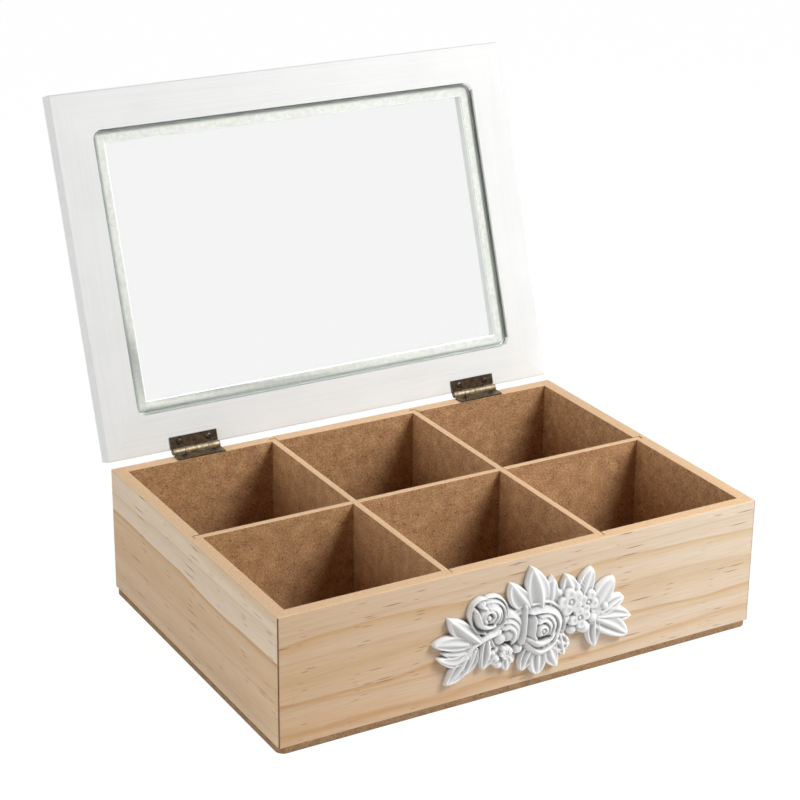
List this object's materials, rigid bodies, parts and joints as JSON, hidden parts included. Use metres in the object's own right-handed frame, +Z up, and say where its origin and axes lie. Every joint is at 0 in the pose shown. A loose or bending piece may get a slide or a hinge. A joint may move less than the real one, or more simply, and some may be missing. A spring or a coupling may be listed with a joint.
{
  "type": "tea bag organizer box",
  "caption": "Rectangular wooden box with divided compartments, a hinged glazed lid and a floral relief on its front.",
  "frame": {"origin": "middle of the base board's underside, on the surface that the box stands on", "axes": "+Z up, +X to the right along the front, -Y out of the front with the floral relief; the lid is open at rest and leans back over +Y"},
  "size_m": [0.24, 0.2438, 0.2259],
  "materials": {
    "brown_board": "bare brown fibre board, its cut edges sanded lighter",
    "pine_veneer": "bare sanded pine veneer",
    "divider_board": "bare thin fibre board, its top edges sanded lighter",
    "cast_resin": "matte white casting",
    "white_paint": "wood brushed with white satin paint",
    "clear_glass": "clear float glass with cut edges",
    "silicone": "translucent silicone bead",
    "hinge_bronze": "antique bronze plating, worn bright at the edges",
    "screw_bronze": "bronze plated screws"
  },
  "bodies": {
    "box": {"base_board": "brown_board", "front_wall": "brown_board", "rear_wall": "brown_board", "left_wall": "brown_board", "right_wall": "brown_board", "front_veneer": "pine_veneer", "rear_veneer": "pine_veneer", "left_veneer": "pine_veneer", "right_veneer": "pine_veneer", "long_divider": "divider_board", "left_cross_divider": "divider_board", "right_cross_divider": "divider_board", "rose_applique": "cast_resin", "left_hinge_box_leaf": "hinge_bronze", "right_hinge_box_leaf": "hinge_bronze", "left_hinge_pin": "hinge_bronze", "right_hinge_pin": "hinge_bronze", "box_hinge_screws": "screw_bronze"},
    "lid": {"lid_front_rail": "white_paint", "lid_rear_rail": "white_paint", "lid_left_stile": "white_paint", "lid_right_stile": "white_paint", "glass_pane": "clear_glass", "glazing_bead": "silicone", "left_hinge_lid_leaf": "hinge_bronze", "right_hinge_lid_leaf": "hinge_bronze", "lid_hinge_screws": "screw_bronze"}
  },
  "joints": [
    {"name": "lid_hinge", "type": "hinge", "parent": "box", "child": "lid", "pos_m": [0, 0.086, 0.06455], "axis": [-1, 0, 0], "range_deg": [-109.6, 0]}
  ]
}
